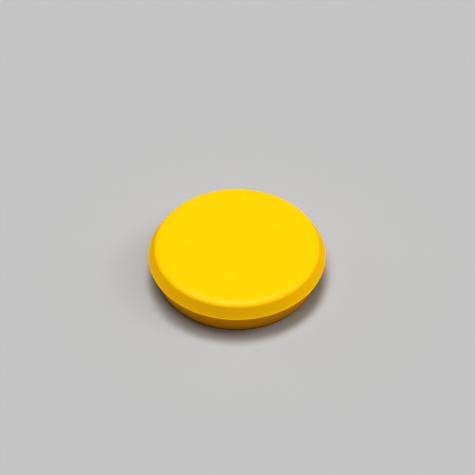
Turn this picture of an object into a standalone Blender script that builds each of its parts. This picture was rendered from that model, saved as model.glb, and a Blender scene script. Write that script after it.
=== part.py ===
"""Round board magnet: a moulded casing that holds a steel back plate and a ferrite disc in its underside.

Every piece is turned about the Z axis. The origin is the centre of the plane that the casing's foot rests
on, and +Z points out through the top face. Sizes are in metres.
"""

import math

import bmesh
import bpy
from mathutils import Vector

MM = 0.001

# Outside of the casing: a flat top whose border falls a little, a steep flank out to the rim, and a wall
# drawn in under it for the fingertips. The corners are given where they would be without their rounding.
HEIGHT = 7.0 * MM
CROWN_RADIUS = 13.6 * MM  # where the border of the top face starts to fall
CROWN_FALL = math.radians(8)
CROWN_ROUNDING = 6.0 * MM
SHOULDER_RADIUS = 14.72 * MM  # where that border meets the flank
SHOULDER_HEIGHT = HEIGHT - (SHOULDER_RADIUS - CROWN_RADIUS) * math.tan(CROWN_FALL)
SHOULDER_ROUNDING = 1.0 * MM
RIM_RADIUS = 16.012 * MM  # where the flank meets the lower wall; its rounding takes this down to 16.0
RIM_HEIGHT = 4.55 * MM
RIM_ROUNDING = 0.12 * MM
FOOT_RADIUS = 14.2 * MM
FOOT_ROUNDING = 0.35 * MM

# Pocket in the casing, open at the foot
TOP_WALL = 1.2 * MM
POCKET_RADIUS = 13.0 * MM  # at its closed end
POCKET_DRAFT = math.radians(0.5)
POCKET_LEAD_IN = 0.25 * MM
POCKET_CORNER = 0.3 * MM

# Crush ribs up the pocket's wall, which centre the magnet; each is as wide as one facet of the wall
RIB_COUNT = 6
RIB_START = 0.9 * MM  # above the foot
RIB_STANDS_OUT = 0.18 * MM
RIB_SLOPE = 0.14 * MM  # how far its sides and ends lean in

# What the pocket holds, from its closed end down to the foot
GAP = 0.3 * MM  # left between pieces that touch
ADHESIVE_RADIUS = 11.6 * MM
ADHESIVE_THICKNESS = 0.3 * MM
ADHESIVE_EDGE = 0.1 * MM
PLATE_RADIUS = 12.3 * MM
PLATE_THICKNESS = 0.8 * MM
PLATE_EDGE = 0.12 * MM
MAGNET_RADIUS = 12.5 * MM
MAGNET_RECESS = 0.3 * MM  # keeps the hard ferrite off the board
MAGNET_EDGE = 0.25 * MM

POCKET_END = HEIGHT - TOP_WALL
ADHESIVE_BOTTOM = POCKET_END - GAP - ADHESIVE_THICKNESS
PLATE_BOTTOM = ADHESIVE_BOTTOM - GAP - PLATE_THICKNESS
MAGNET_THICKNESS = PLATE_BOTTOM - GAP - MAGNET_RECESS

# Base colour, roughness and metalness of each material
LOOKS = {
    "yellow_plastic": ((0.915, 0.51, 0.0), 0.30, 0.0),
    "clear_adhesive": ((0.78, 0.72, 0.52), 0.35, 0.0),
    "zinc_plated_steel": ((0.56, 0.57, 0.58), 0.38, 1.0),
    "dark_ferrite": ((0.055, 0.055, 0.060), 0.55, 0.0),
}

SEGMENTS = 120
ARC_STEPS = 6
SMALL_ARC_STEPS = 3
MERGE_DISTANCE = 1e-7
SMOOTH_BELOW = math.radians(30)


def clear_scene():
    for item in list(bpy.data.objects):
        bpy.data.objects.remove(item, do_unlink=True)


def material(name):
    colour, roughness, metallic = LOOKS[name]
    made = bpy.data.materials.new(name)
    made.use_nodes = True
    made.diffuse_color = (*colour, 1.0)
    shader = made.node_tree.nodes["Principled BSDF"]
    shader.inputs["Base Color"].default_value = (*colour, 1.0)
    shader.inputs["Roughness"].default_value = roughness
    shader.inputs["Metallic"].default_value = metallic
    return made


def rounded(before, corner, after, radius, steps):
    """The points of the arc that rounds a corner, from the side of `before` to the side of `after`."""
    before, corner, after = Vector(before), Vector(corner), Vector(after)
    back = (before - corner).normalized()
    onward = (after - corner).normalized()
    half_angle = back.angle(onward) / 2
    centre = corner + (back + onward).normalized() * radius / math.sin(half_angle)
    reach = radius / math.tan(half_angle)
    start = corner + back * reach - centre
    end = corner + onward * reach - centre
    return [centre + start.slerp(end, step / steps) * radius for step in range(steps + 1)]


def turned(outline):
    """The solid, as a bmesh, that an outline of (radius, height) points from axis to axis sweeps about Z."""
    shape = bmesh.new()
    points = [shape.verts.new((radius, 0.0, height)) for radius, height in outline]
    edges = [shape.edges.new(pair) for pair in zip(points, points[1:])]
    bmesh.ops.spin(
        shape,
        geom=points + edges,
        axis=(0, 0, 1),
        angle=math.tau,
        steps=SEGMENTS,
        use_merge=True,
    )
    bmesh.ops.remove_doubles(shape, verts=shape.verts, dist=MERGE_DISTANCE)
    bmesh.ops.recalc_face_normals(shape, faces=shape.faces)
    return shape


def place(name, shape, material_name, assembly, height=0.0):
    """Makes an object of the bmesh, standing at a height on the assembly's axis."""
    mesh = bpy.data.meshes.new(name)
    shape.to_mesh(mesh)
    shape.free()
    mesh.materials.append(material(material_name))
    mesh.shade_smooth()
    mesh.set_sharp_from_angle(angle=SMOOTH_BELOW)
    piece = bpy.data.objects.new(name, mesh)
    bpy.context.collection.objects.link(piece)
    piece.parent = assembly
    piece.location.z = height


def casing_outline():
    """Down the outside from the top's centre to the foot, then up the pocket's wall to its centre."""
    mouth_radius = POCKET_RADIUS + POCKET_END * math.tan(POCKET_DRAFT)
    rib_start_radius = POCKET_RADIUS + (POCKET_END - RIB_START) * math.tan(POCKET_DRAFT)
    top_centre = (0, HEIGHT)
    crown = (CROWN_RADIUS, HEIGHT)
    shoulder = (SHOULDER_RADIUS, SHOULDER_HEIGHT)
    rim = (RIM_RADIUS, RIM_HEIGHT)
    foot = (FOOT_RADIUS, 0)
    mouth_edge = (mouth_radius + POCKET_LEAD_IN, 0)
    mouth = (mouth_radius, POCKET_LEAD_IN)
    rib_start = (rib_start_radius, RIB_START)
    pocket_corner = (POCKET_RADIUS, POCKET_END)
    pocket_centre = (0, POCKET_END)
    return [
        top_centre,
        *rounded(top_centre, crown, shoulder, CROWN_ROUNDING, SMALL_ARC_STEPS),
        *rounded(crown, shoulder, rim, SHOULDER_ROUNDING, ARC_STEPS),
        *rounded(shoulder, rim, foot, RIM_ROUNDING, SMALL_ARC_STEPS),
        *rounded(rim, foot, mouth_edge, FOOT_ROUNDING, SMALL_ARC_STEPS),
        mouth_edge,
        mouth,
        rib_start,
        *rounded(rib_start, pocket_corner, pocket_centre, POCKET_CORNER, SMALL_ARC_STEPS),
        pocket_centre,
    ]


def raise_crush_ribs(shape):
    """Raises a rib on the facet of the pocket's wall that is nearest to each rib's direction."""
    half_facet = math.pi / SEGMENTS
    facets = []
    for face in shape.faces:
        centre = face.calc_center_median()
        upright = abs(face.normal.z) < math.sin(2 * POCKET_DRAFT)
        if upright and face.normal.dot(centre) < 0 and RIB_START < centre.z:
            facets.append(face)
    ribs = []
    for index in range(RIB_COUNT):
        angle = math.tau * (index + 0.5) / RIB_COUNT + half_facet
        towards = Vector((math.cos(angle), math.sin(angle), 0))
        ribs.append(max(facets, key=lambda face: face.calc_center_median().dot(towards)))
    bmesh.ops.inset_individual(shape, faces=ribs, thickness=RIB_SLOPE, depth=RIB_STANDS_OUT)


def casing(assembly):
    shape = turned(casing_outline())
    raise_crush_ribs(shape)
    place("casing", shape, "yellow_plastic", assembly)


def disc(name, radius, thickness, edge, material_name, assembly, height):
    """A flat disc with both its edges chamfered, standing at a height."""
    outline = [
        (0, thickness),
        (radius - edge, thickness),
        (radius, thickness - edge),
        (radius, edge),
        (radius - edge, 0),
        (0, 0),
    ]
    place(name, turned(outline), material_name, assembly, height)


def main():
    clear_scene()
    assembly = bpy.data.objects.new("board_magnet", None)
    bpy.context.collection.objects.link(assembly)
    casing(assembly)
    disc(
        "adhesive_layer",
        ADHESIVE_RADIUS,
        ADHESIVE_THICKNESS,
        ADHESIVE_EDGE,
        "clear_adhesive",
        assembly,
        ADHESIVE_BOTTOM,
    )
    disc(
        "back_plate",
        PLATE_RADIUS,
        PLATE_THICKNESS,
        PLATE_EDGE,
        "zinc_plated_steel",
        assembly,
        PLATE_BOTTOM,
    )
    disc(
        "ferrite_magnet",
        MAGNET_RADIUS,
        MAGNET_THICKNESS,
        MAGNET_EDGE,
        "dark_ferrite",
        assembly,
        MAGNET_RECESS,
    )


main()
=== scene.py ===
"""The looks of a round board magnet: a moulded plastic casing with a ferrite disc bonded into its underside.

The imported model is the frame. Each of its nodes is replaced by a finer mesh of the same size in the same
place: the casing with its parting line and crush ribs, the ferrite disc with its chipped edges, the stamped
back plate, and the adhesive that was squeezed out between plate and casing. Every piece is turned about the
Z axis and then worked over. Sizes are in metres.
"""

import math
import random

import bmesh
import bpy
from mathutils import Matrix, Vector, noise


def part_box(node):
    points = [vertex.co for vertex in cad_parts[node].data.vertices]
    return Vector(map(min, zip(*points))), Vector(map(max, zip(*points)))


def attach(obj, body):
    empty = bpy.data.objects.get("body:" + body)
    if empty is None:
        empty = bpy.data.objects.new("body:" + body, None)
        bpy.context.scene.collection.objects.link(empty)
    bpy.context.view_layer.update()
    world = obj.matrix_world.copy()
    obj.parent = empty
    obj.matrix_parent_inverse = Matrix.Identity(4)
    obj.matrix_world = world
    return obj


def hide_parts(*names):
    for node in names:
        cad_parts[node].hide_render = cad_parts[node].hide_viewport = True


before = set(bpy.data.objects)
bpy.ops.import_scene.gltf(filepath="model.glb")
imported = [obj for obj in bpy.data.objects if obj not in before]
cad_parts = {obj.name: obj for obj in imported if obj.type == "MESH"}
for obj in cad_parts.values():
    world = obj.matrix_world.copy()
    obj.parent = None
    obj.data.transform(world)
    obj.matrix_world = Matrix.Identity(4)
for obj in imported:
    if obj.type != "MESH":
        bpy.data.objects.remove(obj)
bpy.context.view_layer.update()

MM = 0.001

# Places that come from the frame
CASING_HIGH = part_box("casing")[1]
ADHESIVE_LOW, ADHESIVE_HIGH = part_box("adhesive_layer")
PLATE_LOW, PLATE_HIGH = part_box("back_plate")
MAGNET_LOW, MAGNET_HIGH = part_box("ferrite_magnet")

# Outside of the casing, with the corners where they would be without their rounding
HEIGHT = CASING_HIGH.z
CROWN_RADIUS = 13.6 * MM  # where the border of the top face starts to fall
CROWN_FALL = math.radians(8)
CROWN_ROUNDING = 6.0 * MM
SHOULDER_RADIUS = 14.72 * MM  # where that border meets the flank
SHOULDER_HEIGHT = HEIGHT - (SHOULDER_RADIUS - CROWN_RADIUS) * math.tan(CROWN_FALL)
SHOULDER_ROUNDING = 1.0 * MM
PARTING_BEAD = 0.05 * MM  # how far the flash along the mould's parting line stands out of the rim
PARTING_BEAD_HALF = 0.09 * MM
PARTING_BEAD_LUMPS = 90  # round the rim
PARTING_BEAD_UNEVENNESS = 0.15
RIM_CORNER = 0.012 * MM  # what the rim's rounding takes off its corner
RIM_RADIUS = CASING_HIGH.x - PARTING_BEAD + RIM_CORNER
RIM_HEIGHT = 4.55 * MM
RIM_ROUNDING = 0.12 * MM
FOOT_RADIUS = 14.2 * MM
FOOT_ROUNDING = 0.35 * MM

# Pocket in the casing
POCKET_END = 5.8 * MM
POCKET_RADIUS = 13.0 * MM
POCKET_DRAFT = math.radians(0.5)
POCKET_LEAD_IN = 0.25 * MM
POCKET_CORNER = 0.3 * MM
RIB_COUNT = 6
RIB_TURN = math.radians(1.5)  # from the middle of each sixth of the pocket
RIB_START = 0.9 * MM
RIB_STANDS_OUT = 0.18 * MM
RIB_HALF_WIDTH = 0.42 * MM
RIB_FADE = 0.3 * MM

# Ferrite disc. A chip is what a ball takes out of an edge.
MAGNET_EDGE = 0.25 * MM
CHIPPED_BORDER = 1.6 * MM  # how far in from its rim a face is meshed finely
CHIP_COUNT = 22
CHIP_SEED = 7
CHIP_BALL = (0.35 * MM, 1.0 * MM)  # smallest and largest radius of the ball
CHIP_DIP = (0.12, 0.28)  # how deep the ball goes in, as a share of its radius
CHIP_SLANT = (0.5, 1.4)  # how far the ball leans from the wall to the face

# Back plate and adhesive
PLATE_ROLL = 0.28 * MM  # rounded side of a stamped edge
PLATE_BURR = 0.05 * MM
ADHESIVE_WANDER = 0.55 * MM  # how far at most the adhesive's outline falls short of its circle
ADHESIVE_WAVES = 24  # round its outline
ADHESIVE_RIPPLES = 80
ADHESIVE_WAVE_SHARE = 0.32
ADHESIVE_RIPPLE_SHARE = 0.18
ADHESIVE_BULGE = 0.98  # rounding of its edge, as a share of half its thickness

# How finely the outlines are cut, and how the pieces are shaded
CASING_SEGMENTS = 600
DISC_SEGMENTS = 480
ARC_STEPS = 16
PLAIN_STEPS = 4
POCKET_WALL_STEPS = 16
CHIPPED_BORDER_STEPS = 14
CHIPPED_WALL_STEPS = 30
ADHESIVE_STEPS = 8
HOLD = 0.08 * MM  # from a rounding to the ring that keeps the shading of the flat beside it level
SMOOTH_BELOW = math.radians(35)

# Camera and light
LENS = 227.4
CLIP_START = 0.01
CAMERA_DISTANCE = 0.5414
CAMERA_ELEVATION = math.radians(45.83)
AIM = Vector((0.0001, 0, 0.00906))
FLOOR_SIZE = 4.0
FLOOR_GREY = 0.42
FLOOR_DROP = 0.00001
# Name, direction from the object (0 is away from the camera, 90 to its right), elevation, width and
# strength. The angles are in degrees.
LIGHTS = (
    ("back_key", 0, 72, 24, 1.30),
    ("left_key", -90, 77, 22, 0.58),
    ("overhead", 0, 90, 60, 0.52),
    ("right_fill", 90, 45, 30, 0.53),
    ("front_fill", 180, 60, 40, 0.47),
    ("right_side", 62, 20, 25, 0.20),
    ("left_side", -62, 20, 25, 0.17),
)

# Yellow plastic. The blends are the heights over which one look gives way to the next.
YELLOW = (0.915, 0.51, 0.0)
STREAK_YELLOW = (0.905, 0.495, 0.0)
# Painted light: the flank below the shoulder gets a lighter, more lemon copy of the face's yellow.
FLANK_PAINTED_LIGHT_YELLOW = (0.91, 0.535, 0.0)
# Painted shade: the wall under the rim's overhang gets a darker, more orange copy of the yellow.
UNDER_RIM_SHADE_YELLOW = (0.88, 0.43, 0.0)
SCRATCHED_YELLOW = (0.93, 0.60, 0.10)
SCRATCH_STRENGTH = 0.35
PLASTIC_SPECULAR = 0.13
FACE_ROUGHNESS = (0.29, 0.31)
GRIP_ROUGHNESS = 0.35  # what the coarser finish below the shoulder adds
HANDLED_GLOSS = 0.05  # what fingers take away again along the rim
HANDLED_REACH = 0.35 * MM
# The heights where the painted shade under the rim takes over from the flank's colour.
RIM_BLEND = (RIM_HEIGHT - 0.12 * MM, RIM_HEIGHT + 0.03 * MM)
SHOULDER_BLEND = (SHOULDER_HEIGHT - 0.10 * MM, SHOULDER_HEIGHT + 0.05 * MM)
FACE_BLEND = (HEIGHT - 0.05 * MM, HEIGHT)
HAIRLINE_LENGTH = 4 * MM
HAIRLINE_WIDTH = 0.08 * MM
HAIRLINE_SPACING = 1.6 * MM
HAIRLINE_TURNS = (math.radians(20), math.radians(75), math.radians(130))

# The other materials, each with the two colours that it goes between
ADHESIVE_COLOURS = ((0.78, 0.72, 0.52), (0.68, 0.58, 0.34))
ADHESIVE_ROUGHNESS = (0.28, 0.42)
ADHESIVE_SCATTER = (0.6 * MM, 0.5 * MM, 0.3 * MM)
BUBBLE_EDGE = (0.05, 0.28)  # where a bubble ends, as shares of the distance between bubbles
ZINC_COLOURS = ((0.60, 0.61, 0.62), (0.47, 0.48, 0.50))
ZINC_ROUGHNESS = (0.30, 0.44)
ZINC_STREAKS = (-0.05, 0.05)  # what the rolling lines add to the roughness
FERRITE_COLOURS = ((0.046, 0.046, 0.051), (0.068, 0.067, 0.070))
FERRITE_ROUGHNESS = (0.36, 0.56)
PIT_EDGE = (0.03, 0.10)  # where a pit ends, as shares of the distance between pits
WHEEL_CENTRE = (-0.06, -0.02, 0)  # middle of the arcs that the grinding wheel left
NOISE_SPREAD = (0.3, 0.7)  # holds nearly all the values of a noise


# Shapes


def rounded(before, corner, after, radius):
    """The points of the arc that rounds a corner, from the side of `before` to the side of `after`."""
    before, corner, after = Vector(before), Vector(corner), Vector(after)
    back = (before - corner).normalized()
    onward = (after - corner).normalized()
    half_angle = back.angle(onward) / 2
    centre = corner + (back + onward).normalized() * radius / math.sin(half_angle)
    reach = radius / math.tan(half_angle)
    start = corner + back * reach - centre
    end = corner + onward * reach - centre
    return [centre + start.slerp(end, step / ARC_STEPS) * radius for step in range(ARC_STEPS + 1)]


def between(start, end, steps=PLAIN_STEPS):
    """Points along the straight run between two others, with one close to each end."""
    start, end = Vector(start), Vector(end)
    hold = (end - start).normalized() * HOLD
    first, last = start + hold, end - hold
    return [first.lerp(last, step / steps) for step in range(steps + 1)]


def turned(outline, segments):
    """The solid, as a bmesh, that an outline of (radius, height) points from axis to axis sweeps about Z."""
    shape = bmesh.new()
    (_, top_height), *between_them, (_, bottom_height) = outline
    turns = [math.tau * index / segments for index in range(segments)]
    rings = [
        [shape.verts.new((radius * math.cos(turn), radius * math.sin(turn), height)) for turn in turns]
        for radius, height in between_them
    ]
    for upper, lower in zip(rings, rings[1:]):
        for index in range(segments):
            shape.faces.new((upper[index], upper[index - 1], lower[index - 1], lower[index]))
    top = shape.verts.new((0, 0, top_height))
    bottom = shape.verts.new((0, 0, bottom_height))
    for index in range(segments):
        shape.faces.new((rings[0][index - 1], rings[0][index], top))
        shape.faces.new((rings[-1][index], rings[-1][index - 1], bottom))
    return shape


def push_out(vert, distance):
    """Moves a vertex straight away from the axis."""
    vert.co += Vector((vert.co.x, vert.co.y, 0)).normalized() * distance


def angle_from(vert, angle):
    """The angle about Z from a direction to a vertex, between minus and plus half a turn."""
    return math.remainder(math.atan2(vert.co.y, vert.co.x) - angle, math.tau)


def hump(offset, half_width):
    """1 at no offset, falling smoothly to 0 at half_width and beyond."""
    return (1 + math.cos(math.pi * min(abs(offset) / half_width, 1))) / 2


def wander(vert, lumps, seed):
    """Smooth noise from -1 to 1 that goes round the axis, with about that many lumps in a turn."""
    around = Vector((vert.co.x, vert.co.y, 0)).normalized() * lumps / math.tau
    return noise.noise(around + Vector((0, 0, seed)))


def piece(name, shape, material, node):
    """Makes an object of the bmesh that rides on the model's body and stands for a node of the frame."""
    mesh = bpy.data.meshes.new(name)
    shape.to_mesh(mesh)
    shape.free()
    mesh.materials.append(material)
    mesh.shade_smooth()
    mesh.set_sharp_from_angle(angle=SMOOTH_BELOW)
    made = bpy.data.objects.new(name, mesh)
    bpy.context.scene.collection.objects.link(made)
    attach(made, "root")
    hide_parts(node)


# Casing


def casing_outline():
    """Down the outside from the top's centre to the foot, then up the pocket's wall to its centre."""
    mouth_radius = POCKET_RADIUS + POCKET_END * math.tan(POCKET_DRAFT)
    top_centre = Vector((0, HEIGHT))
    crown = (CROWN_RADIUS, HEIGHT)
    shoulder = (SHOULDER_RADIUS, SHOULDER_HEIGHT)
    rim = (RIM_RADIUS, RIM_HEIGHT)
    foot = (FOOT_RADIUS, 0)
    mouth_edge = (mouth_radius + POCKET_LEAD_IN, 0)
    mouth = (mouth_radius, POCKET_LEAD_IN)
    pocket_corner = (POCKET_RADIUS, POCKET_END)
    pocket_centre = Vector((0, POCKET_END))
    crown_arc = rounded(top_centre, crown, shoulder, CROWN_ROUNDING)
    shoulder_arc = rounded(crown, shoulder, rim, SHOULDER_ROUNDING)
    rim_arc = rounded(shoulder, rim, foot, RIM_ROUNDING)
    foot_arc = rounded(rim, foot, mouth_edge, FOOT_ROUNDING)
    corner_arc = rounded(mouth, pocket_corner, pocket_centre, POCKET_CORNER)
    return [
        top_centre,
        *between(top_centre, crown_arc[0])[1:],
        *crown_arc,
        *shoulder_arc,
        *between(shoulder_arc[-1], rim_arc[0]),
        *rim_arc,
        *between(rim_arc[-1], foot_arc[0]),
        *foot_arc,
        mouth_edge,
        mouth,
        *between(mouth, corner_arc[0], POCKET_WALL_STEPS),
        *corner_arc,
        *between(corner_arc[-1], pocket_centre)[:-1],
        pocket_centre,
    ]


def raise_parting_bead(shape):
    """Leaves the line of flash where the halves of the mould met, round the widest part of the rim."""
    rim = [vert for vert in shape.verts if abs(vert.co.z - RIM_HEIGHT) < PARTING_BEAD_HALF]
    widest = max(rim, key=lambda vert: vert.co.xy.length).co.z
    for vert in rim:
        loss = PARTING_BEAD_UNEVENNESS * (1 - wander(vert, PARTING_BEAD_LUMPS, seed=1))
        push_out(vert, PARTING_BEAD * (1 - loss) * hump(vert.co.z - widest, PARTING_BEAD_HALF))


def raise_crush_ribs(shape):
    """Raises the ribs in the pocket that centre the magnet."""
    rib_end = POCKET_END - POCKET_CORNER
    pocket_wall = [
        vert
        for vert in shape.verts
        if RIB_START < vert.co.z < rib_end and abs(vert.co.xy.length - POCKET_RADIUS) < POCKET_LEAD_IN
    ]
    for index in range(RIB_COUNT):
        angle = math.tau * (index + 0.5) / RIB_COUNT + RIB_TURN
        for vert in pocket_wall:
            across = hump(angle_from(vert, angle) * POCKET_RADIUS, RIB_HALF_WIDTH)
            start = min((vert.co.z - RIB_START) / RIB_FADE, 1)
            push_out(vert, -RIB_STANDS_OUT * across * start)


def make_casing():
    shape = turned(casing_outline(), CASING_SEGMENTS)
    raise_parting_bead(shape)
    raise_crush_ribs(shape)
    piece("casing_moulding", shape, yellow_plastic(), "casing")


# Insert


def chip_edges(shape, radius, faces):
    """Knocks small shells out of a brittle disc's edges. Each bite is a ball that dips into the edge."""
    dice = random.Random(CHIP_SEED)
    chamfer_depth = MAGNET_EDGE / math.sqrt(2)
    for _ in range(CHIP_COUNT):
        angle = dice.uniform(0, math.tau)
        ball = dice.uniform(*CHIP_BALL)
        dip = ball * dice.uniform(*CHIP_DIP)
        face_height, outwards = dice.choice(faces)
        corner = Vector((radius * math.cos(angle), radius * math.sin(angle), face_height))
        slant = outwards * dice.uniform(*CHIP_SLANT)
        away = Vector((math.cos(angle), math.sin(angle), slant)).normalized()
        centre = corner + away * (ball - dip - chamfer_depth)
        for vert in shape.verts:
            if (vert.co - centre).length < ball:
                vert.co = centre + (vert.co - centre).normalized() * ball


def make_magnet():
    radius = MAGNET_HIGH.x
    bottom, top = MAGNET_LOW.z, MAGNET_HIGH.z
    upper_chamfer = (Vector((radius - MAGNET_EDGE, top)), Vector((radius, top - MAGNET_EDGE)))
    lower_chamfer = (Vector((radius, bottom + MAGNET_EDGE)), Vector((radius - MAGNET_EDGE, bottom)))
    inner = radius - CHIPPED_BORDER
    outline = [
        (0, top),
        *between((0, top), (inner, top))[1:],
        *between((inner, top), upper_chamfer[0], CHIPPED_BORDER_STEPS),
        upper_chamfer[0],
        *between(*upper_chamfer),
        upper_chamfer[1],
        *between(upper_chamfer[1], lower_chamfer[0], CHIPPED_WALL_STEPS),
        lower_chamfer[0],
        *between(*lower_chamfer),
        lower_chamfer[1],
        *between(lower_chamfer[1], (inner, bottom), CHIPPED_BORDER_STEPS),
        *between((inner, bottom), (0, bottom))[:-1],
        (0, bottom),
    ]
    shape = turned(outline, DISC_SEGMENTS)
    chip_edges(shape, radius, ((top, 1), (bottom, -1)))
    piece("ferrite_disc", shape, dark_ferrite(), "ferrite_magnet")


def make_back_plate():
    """A stamped disc, with the rolled edge that the punch leaves on one side and a burr on the other."""
    radius = PLATE_HIGH.x
    bottom, top = PLATE_LOW.z, PLATE_HIGH.z
    roll = rounded((0, bottom), (radius, bottom), (radius, top), PLATE_ROLL)
    burr = [
        Vector((radius, top)),
        Vector((radius - PLATE_BURR, top - PLATE_BURR / 2)),
        Vector((radius - 2 * PLATE_BURR, top - PLATE_BURR)),
    ]
    flat = top - PLATE_BURR
    outline = [
        (0, flat),
        *between((0, flat), burr[2])[1:],
        *reversed(burr),
        *between(burr[0], roll[-1]),
        *reversed(roll),
        *between(roll[0], (0, bottom))[:-1],
        (0, bottom),
    ]
    shape = turned(outline, DISC_SEGMENTS)
    piece("steel_back_plate", shape, zinc_plated_steel(), "back_plate")


def make_adhesive():
    """A drop of adhesive pressed flat: an uneven outline with a bulging edge."""
    radius = ADHESIVE_HIGH.x
    bottom, top = ADHESIVE_LOW.z, ADHESIVE_HIGH.z
    bulge = ADHESIVE_BULGE * (top - bottom) / 2
    edge = rounded((0, top), (radius, top), (radius, bottom), bulge)
    edge += rounded((radius, top), (radius, bottom), (0, bottom), bulge)
    outline = [
        (0, top),
        *between((0, top), edge[0], ADHESIVE_STEPS)[1:],
        *edge,
        *between(edge[-1], (0, bottom), ADHESIVE_STEPS)[:-1],
        (0, bottom),
    ]
    shape = turned(outline, DISC_SEGMENTS)
    for vert in shape.verts:
        waves = ADHESIVE_WAVE_SHARE * wander(vert, ADHESIVE_WAVES, seed=2)
        ripples = ADHESIVE_RIPPLE_SHARE * wander(vert, ADHESIVE_RIPPLES, seed=3)
        share = 0.5 + waves + ripples
        towards_edge = (vert.co.xy.length / radius) ** 4
        push_out(vert, -ADHESIVE_WANDER * share * towards_edge)
    piece("adhesive_pad", shape, clear_adhesive(), "adhesive_layer")


# Materials


class Surface:
    """A Principled material under construction."""

    def __init__(self, name, **constants):
        self.material = bpy.data.materials.new(name)
        self.material.use_nodes = True
        self.tree = self.material.node_tree
        self.shader = self.tree.nodes["Principled BSDF"]
        for socket, value in constants.items():
            self.shader.inputs[socket.replace("_", " ")].default_value = value
        self.position = self.add("ShaderNodeTexCoord").outputs["Object"]

    def add(self, kind, inputs=None, **settings):
        """A new node. Each named input gets a value, or a link from another node's output."""
        node = self.tree.nodes.new(kind)
        for name, value in settings.items():
            setattr(node, name, value)
        for name, value in (inputs or {}).items():
            if isinstance(value, bpy.types.NodeSocket):
                self.tree.links.new(value, node.inputs[name])
            else:
                node.inputs[name].default_value = value
        return node

    def drive(self, socket, value):
        """Links an output to one of the shader's inputs."""
        self.tree.links.new(value, self.shader.inputs[socket])

    def along_x(self, length, turn=0.0):
        """The position, for patterns that are that many times longer along X once X is turned about Z."""
        inputs = {"Vector": self.position, "Rotation": (0, 0, turn), "Scale": (length, 1, 1)}
        return self.add("ShaderNodeMapping", inputs, vector_type="TEXTURE").outputs[0]

    def grain(self, size, detail=2.0, length=1, distortion=0.0):
        """Noise from 0 to 1 with features about `size` metres across, and longer along X by a factor."""
        inputs = {
            "Vector": self.along_x(length),
            "Scale": 1 / size,
            "Detail": detail,
            "Distortion": distortion,
        }
        return self.add("ShaderNodeTexNoise", inputs).outputs["Fac"]

    def cells(self, size):
        """Distance to the nearest of many scattered points, about `size` metres apart."""
        inputs = {"Vector": self.position, "Scale": 1 / size}
        return self.add("ShaderNodeTexVoronoi", inputs).outputs["Distance"]

    def hairlines(self, turn):
        """1 along a few straight scratches that are parallel to X turned about Z, and 0 between them."""
        stretched = self.along_x(HAIRLINE_LENGTH / HAIRLINE_WIDTH, turn)
        inputs = {"Vector": stretched, "Scale": 1 / HAIRLINE_SPACING}
        cells = self.add("ShaderNodeTexVoronoi", inputs, voronoi_dimensions="2D")
        reach = HAIRLINE_WIDTH / 2 / HAIRLINE_SPACING
        return self.ranged(cells.outputs["Distance"], (reach / 2, reach), (1, 0))

    def ranged(self, value, source, target):
        """A value carried from one range to another and kept inside it."""
        inputs = {
            "Value": value,
            "From Min": source[0],
            "From Max": source[1],
            "To Min": target[0],
            "To Max": target[1],
        }
        return self.add("ShaderNodeMapRange", inputs).outputs[0]

    def maths(self, operation, *values):
        """What a Math node makes of outputs and numbers."""
        node = self.add("ShaderNodeMath", operation=operation)
        for socket, value in zip(node.inputs, values):
            if isinstance(value, bpy.types.NodeSocket):
                self.tree.links.new(value, socket)
            else:
                socket.default_value = value
        return node.outputs[0]

    def blend(self, share, first, second):
        """Goes from the first colour to the second one as share goes from 0 to 1."""
        node = self.add("ShaderNodeMix", {"Factor": share}, data_type="RGBA")
        ends = [socket for socket in node.inputs if socket.type == "RGBA"]
        for socket, colour in zip(ends, (first, second)):
            if isinstance(colour, bpy.types.NodeSocket):
                self.tree.links.new(colour, socket)
            else:
                socket.default_value = (*colour, 1)
        return next(socket for socket in node.outputs if socket.type == "RGBA")

    def bump(self, height, depth, under=None):
        """A bump of that depth in metres, laid over another one."""
        inputs = {"Height": height, "Distance": depth, "Strength": 1.0}
        if under is not None:
            inputs["Normal"] = under
        return self.add("ShaderNodeBump", inputs).outputs["Normal"]


def yellow_plastic():
    """Pigmented ABS from a spark-eroded mould: a satin face, and a duller flank and wall with a worn rim.
    The flank's colour is painted light, a lighter and more lemon copy of the yellow, and the wall under the
    rim carries painted shade in a darker, more orange yellow.
    """
    surface = Surface("yellow_plastic", Specular_IOR_Level=PLASTIC_SPECULAR)
    height = surface.add("ShaderNodeSeparateXYZ", {"Vector": surface.position}).outputs["Z"]
    flow = surface.grain(size=3.5 * MM, detail=3, distortion=0.6)
    face = surface.blend(surface.ranged(flow, NOISE_SPREAD, (0, 1)), YELLOW, STREAK_YELLOW)
    # Painted light: below the shoulder the yellow turns lighter and more lemon.
    upper = surface.blend(surface.ranged(height, SHOULDER_BLEND, (1, 0)), face, FLANK_PAINTED_LIGHT_YELLOW)
    # Painted shade: below the rim the yellow turns darker and more orange.
    unscratched = surface.blend(surface.ranged(height, RIM_BLEND, (1, 0)), upper, UNDER_RIM_SHADE_YELLOW)
    hairlines = surface.hairlines(HAIRLINE_TURNS[0])
    for turn in HAIRLINE_TURNS[1:]:
        hairlines = surface.maths("MAXIMUM", hairlines, surface.hairlines(turn))
    on_face = surface.ranged(height, FACE_BLEND, (0, SCRATCH_STRENGTH))
    scratches = surface.maths("MULTIPLY", hairlines, on_face)
    surface.drive("Base Color", surface.blend(scratches, unscratched, SCRATCHED_YELLOW))

    satin = surface.ranged(surface.grain(size=0.9 * MM, detail=4), NOISE_SPREAD, FACE_ROUGHNESS)
    grip = surface.ranged(height, SHOULDER_BLEND, (GRIP_ROUGHNESS, 0))
    from_rim = surface.maths("ABSOLUTE", surface.maths("SUBTRACT", height, RIM_HEIGHT))
    handled = surface.ranged(from_rim, (0, HANDLED_REACH), (HANDLED_GLOSS, 0))
    finish = surface.maths("ADD", satin, grip)
    surface.drive("Roughness", surface.maths("SUBTRACT", finish, handled))

    erosion = surface.bump(surface.grain(size=0.2 * MM, detail=3), depth=0.010 * MM)
    orange_peel = surface.bump(surface.grain(size=1.6 * MM, detail=1), depth=0.008 * MM, under=erosion)
    surface.drive("Normal", orange_peel)
    return surface.material


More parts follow.
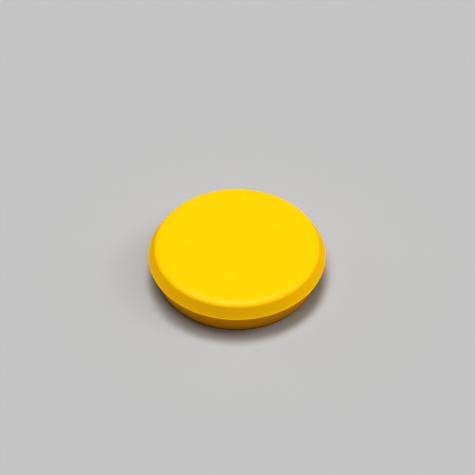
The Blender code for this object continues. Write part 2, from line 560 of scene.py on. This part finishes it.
def clear_adhesive():
    """Set hot-melt adhesive, faintly yellow, with small bubbles in it."""
    surface = Surface(
        "clear_adhesive",
        IOR=1.48,
        Subsurface_Weight=0.35,
        Subsurface_Radius=ADHESIVE_SCATTER,
        Subsurface_Scale=1.0,
    )
    cloud = surface.ranged(surface.grain(size=1.2 * MM, detail=4), NOISE_SPREAD, (0, 1))
    surface.drive("Base Color", surface.blend(cloud, *ADHESIVE_COLOURS))
    satin = surface.ranged(surface.grain(size=0.7 * MM), NOISE_SPREAD, ADHESIVE_ROUGHNESS)
    surface.drive("Roughness", satin)
    bubbles = surface.ranged(surface.cells(size=0.6 * MM), BUBBLE_EDGE, (1, 0))
    swirl = surface.bump(surface.grain(size=1.6 * MM), depth=0.03 * MM)
    surface.drive("Normal", surface.bump(bubbles, depth=0.02 * MM, under=swirl))
    return surface.material


def zinc_plated_steel():
    """Cold-rolled sheet with a thin bright zinc plating: rolling lines, a cloudy plating and dull stains."""
    surface = Surface("zinc_plated_steel", Metallic=1.0)
    cloud = surface.ranged(surface.grain(size=2.2 * MM, detail=5), NOISE_SPREAD, (0, 1))
    surface.drive("Base Color", surface.blend(cloud, *ZINC_COLOURS))
    rolling = surface.grain(size=0.09 * MM, detail=3, length=45)
    stains = surface.ranged(surface.grain(size=1.1 * MM, detail=4), NOISE_SPREAD, ZINC_ROUGHNESS)
    streaks = surface.ranged(rolling, NOISE_SPREAD, ZINC_STREAKS)
    surface.drive("Roughness", surface.maths("ADD", stains, streaks))
    lines = surface.bump(rolling, depth=0.0025 * MM)
    surface.drive("Normal", surface.bump(surface.grain(size=0.12 * MM), depth=0.0015 * MM, under=lines))
    return surface.material


def dark_ferrite():
    """Sintered strontium ferrite, ground flat: a dark grey with pits and the arcs of the grinding wheel."""
    surface = Surface("dark_ferrite", Specular_IOR_Level=0.4)
    speckle = surface.ranged(surface.grain(size=0.12 * MM, detail=4), NOISE_SPREAD, (0, 0.5))
    cloud = surface.ranged(surface.grain(size=4 * MM, detail=3), NOISE_SPREAD, (0, 0.5))
    mottle = surface.maths("ADD", speckle, cloud)
    surface.drive("Base Color", surface.blend(mottle, *FERRITE_COLOURS))
    from_wheel = surface.add(
        "ShaderNodeMapping",
        {"Vector": surface.position, "Location": WHEEL_CENTRE},
        vector_type="TEXTURE",
    )
    arcs = surface.add(
        "ShaderNodeTexWave",
        {
            "Vector": from_wheel.outputs[0],
            "Scale": 1.1 / MM,
            "Distortion": 2.5,
            "Detail": 3,
            "Detail Scale": 0.3,
        },
        wave_type="RINGS",
        rings_direction="Z",
    ).outputs["Fac"]
    surface.drive("Roughness", surface.ranged(arcs, (0, 1), FERRITE_ROUGHNESS))
    pits = surface.ranged(surface.cells(size=0.9 * MM), PIT_EDGE, (0, 1))
    grinding = surface.bump(arcs, depth=0.004 * MM)
    sinter = surface.bump(surface.grain(size=0.1 * MM, detail=2), depth=0.004 * MM, under=grinding)
    surface.drive("Normal", surface.bump(pits, depth=0.03 * MM, under=sinter))
    return surface.material


# Studio


def floor_material():
    material = bpy.data.materials.new("pale_floor")
    material.use_nodes = True
    shader = material.node_tree.nodes["Principled BSDF"]
    shader.inputs["Base Color"].default_value = (FLOOR_GREY, FLOOR_GREY, FLOOR_GREY, 1)
    shader.inputs["Roughness"].default_value = 1.0
    shader.inputs["Specular IOR Level"].default_value = 0.0
    return material


def make_floor():
    shape = bmesh.new()
    bmesh.ops.create_grid(shape, x_segments=1, y_segments=1, size=FLOOR_SIZE / 2)
    mesh = bpy.data.meshes.new("floor")
    shape.to_mesh(mesh)
    shape.free()
    mesh.materials.append(floor_material())
    floor = bpy.data.objects.new("floor", mesh)
    floor.location.z = -FLOOR_DROP
    bpy.context.scene.collection.objects.link(floor)


def make_lights():
    """Broad, soft lights that are far enough off to fall evenly on the whole floor."""
    for name, azimuth, elevation, width, strength in LIGHTS:
        light = bpy.data.lights.new(name, "SUN")
        light.angle = math.radians(width)
        light.energy = strength
        azimuth, elevation = math.radians(azimuth), math.radians(elevation)
        towards = Vector((
            math.sin(azimuth) * math.cos(elevation),
            math.cos(azimuth) * math.cos(elevation),
            math.sin(elevation),
        ))
        lamp = bpy.data.objects.new(name, light)
        lamp.rotation_euler = towards.to_track_quat("Z", "Y").to_euler()
        bpy.context.scene.collection.objects.link(lamp)


def make_world():
    """A backdrop that looks as bright as the floor does, and adds no light of its own."""
    world = bpy.data.worlds.new("backdrop")
    world.use_nodes = True
    nodes, links = world.node_tree.nodes, world.node_tree.links
    seen = nodes.new("ShaderNodeLightPath").outputs["Is Camera Ray"]
    background = nodes["Background"]
    arriving = [
        strength * math.sin(math.radians(elevation))
        for _, _, elevation, _, strength in LIGHTS
    ]
    floor_brightness = FLOOR_GREY * sum(arriving) / math.pi
    brightness = nodes.new("ShaderNodeMath")
    brightness.operation = "MULTIPLY"
    brightness.inputs[1].default_value = floor_brightness
    links.new(seen, brightness.inputs[0])
    links.new(brightness.outputs[0], background.inputs["Strength"])
    background.inputs["Color"].default_value = (1, 1, 1, 1)
    bpy.context.scene.world = world


def make_camera():
    data = bpy.data.cameras.new("camera")
    data.lens = LENS
    data.clip_start = CLIP_START
    camera = bpy.data.objects.new("camera", data)
    back = Vector((0, -math.cos(CAMERA_ELEVATION), math.sin(CAMERA_ELEVATION)))
    camera.location = Vector((0, 0, RIM_HEIGHT)) + back * CAMERA_DISTANCE
    camera.rotation_euler = (camera.location - AIM).to_track_quat("Z", "Y").to_euler()
    bpy.context.scene.collection.objects.link(camera)
    bpy.context.scene.camera = camera


make_casing()
make_adhesive()
make_back_plate()
make_magnet()
make_floor()
make_lights()
make_world()
make_camera()
bpy.context.scene.view_settings.view_transform = "Standard"
bpy.context.scene.view_settings.look = "High Contrast"
